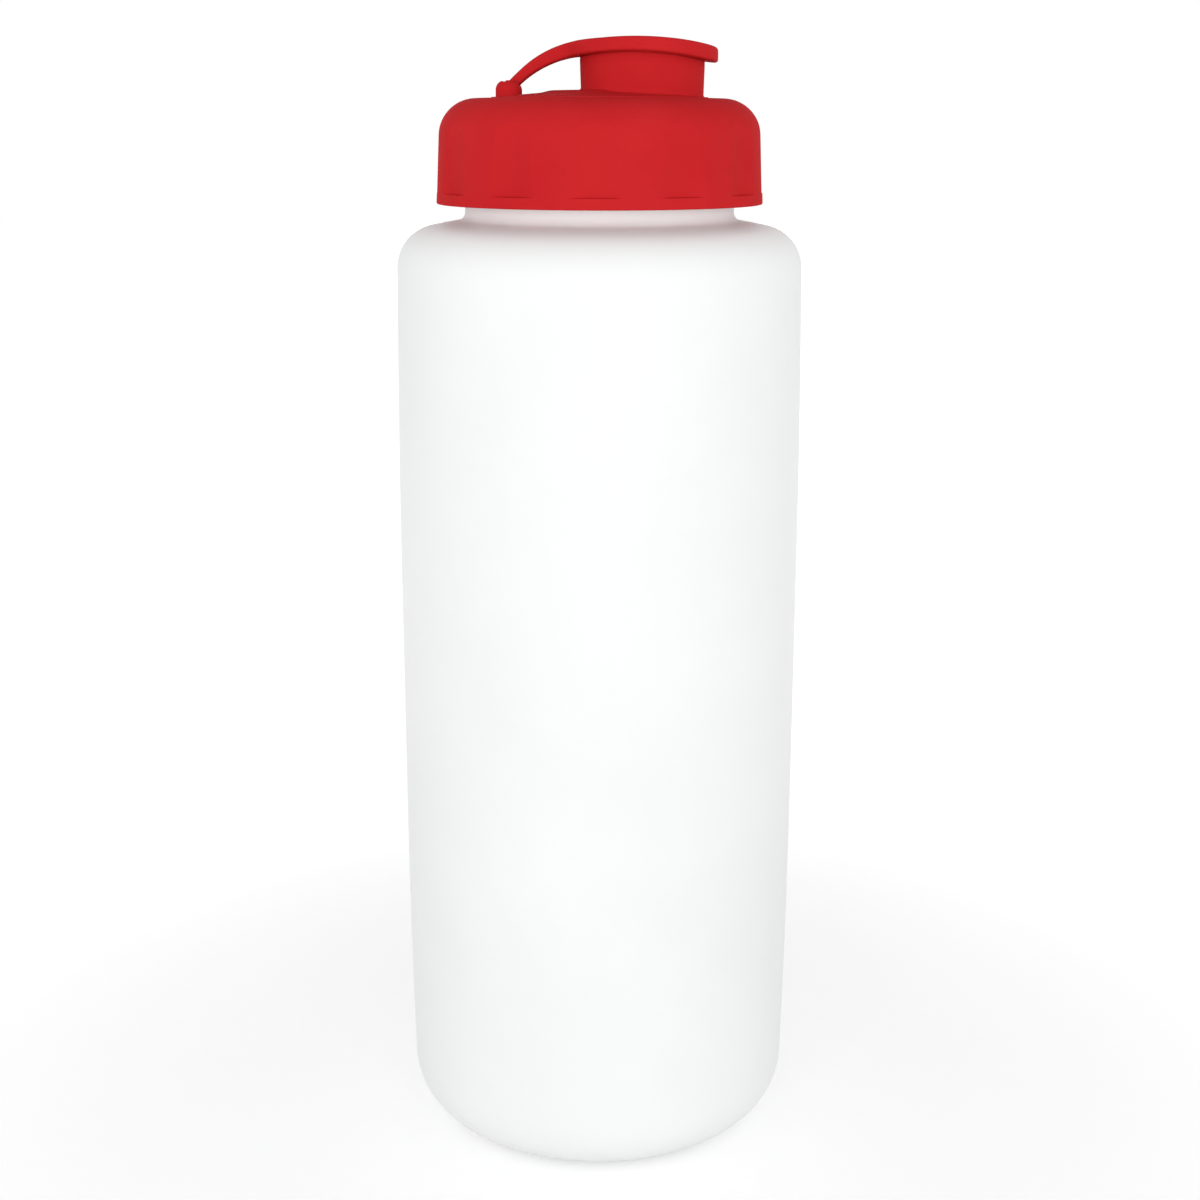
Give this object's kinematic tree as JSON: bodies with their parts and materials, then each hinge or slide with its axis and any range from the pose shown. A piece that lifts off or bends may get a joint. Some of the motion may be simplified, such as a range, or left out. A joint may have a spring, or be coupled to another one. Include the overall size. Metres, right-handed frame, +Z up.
{
  "type": "dispensing sauce bottle with flip cap",
  "caption": "Round squeeze bottle with a fluted screw lid, a sealing ring, an off-centre spout and a hinged flip cap whose plug closes the spout.",
  "frame": {"origin": "centre of the base, on the surface that the bottle stands on", "axes": "+Z up along the bottle's axis, +X from the axis towards the spout, the flip cap's hinge towards -X"},
  "size_m": [0.086, 0.086, 0.2374],
  "materials": {
    "bottle": "satin",
    "lid_gasket": "matte",
    "screw_lid": "satin",
    "flip_cap": "satin"
  },
  "bodies": {
    "bottle": {"bottle": "bottle"},
    "gasket": {"lid_gasket": "lid_gasket"},
    "lid": {"screw_lid": "screw_lid"},
    "cap": {"flip_cap": "flip_cap"}
  },
  "joints": [
    {"name": "lid_lift", "type": "slide", "parent": "bottle", "child": "gasket", "axis": [0, 0, 1], "range_m": [0, 0.02]},
    {"name": "lid_turn", "type": "hinge", "parent": "gasket", "child": "lid", "pos_m": [0, 0, 0.215], "axis": [0, 0, 1], "range_deg": [0, 1440]},
    {"name": "flip_cap_open", "type": "hinge", "parent": "lid", "child": "cap", "pos_m": [-0.01875, 0, 0.2272], "axis": [0, -1, 0], "range_deg": [0, 140]}
  ],
  "couplings": [
    {"joint": "lid_lift", "follows": "lid_turn", "m_per_rad": 0.00079577}
  ]
}
